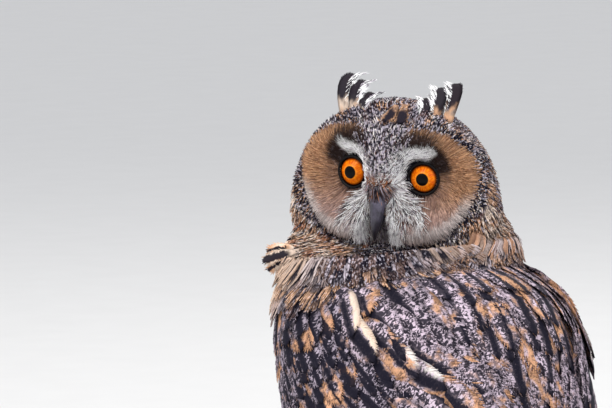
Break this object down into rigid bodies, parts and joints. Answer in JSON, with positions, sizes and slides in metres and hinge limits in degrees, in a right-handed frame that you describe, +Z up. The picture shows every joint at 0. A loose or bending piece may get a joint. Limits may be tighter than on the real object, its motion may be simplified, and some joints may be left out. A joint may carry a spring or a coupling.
{
  "type": "long eared owl",
  "caption": "Long-eared owl, life size, standing with wings folded and its head turned back over the left shoulder; a still model.",
  "frame": {"origin": "on the floor, under the middle of the bird's bounding box", "axes": "+Z up, -Y the way the body faces, +X the bird's left"},
  "size_m": [0.1444, 0.2856, 0.2921],
  "materials": {
    "face": "tawny facial discs of fine hair-like feathers with white brows",
    "body_feathers": "soft buff feathers with dark shaft streaks",
    "back_feathers": "blackish brown feathers with grey vermiculation and orange-buff patches",
    "tuft_feathers": "black ear tufts with pale edges",
    "leg_feathers": "short, dense, warm buff feathering",
    "eye": "wet, glossy orange iris with a black pupil",
    "horn": "smooth blackish horn with a soft gloss"
  },
  "bodies": {
    "root": {"bill_lower": "horn", "bill_upper": "horn", "claw_left_1": "horn", "claw_left_2": "horn", "claw_left_3": "horn", "claw_left_4": "horn", "claw_right_1": "horn", "claw_right_2": "horn", "claw_right_3": "horn", "claw_right_4": "horn", "ear_tuft_left": "tuft_feathers", "ear_tuft_right": "tuft_feathers", "eye_left": "eye", "eye_right": "eye", "foot_left": "leg_feathers", "foot_right": "leg_feathers", "head": "face", "leg_left": "leg_feathers", "leg_right": "leg_feathers", "neck": "body_feathers", "scapulars_left": "back_feathers", "scapulars_right": "back_feathers", "tail": "back_feathers", "torso": "body_feathers", "wing_left": "back_feathers", "wing_right": "back_feathers"}
  },
  "joints": []
}
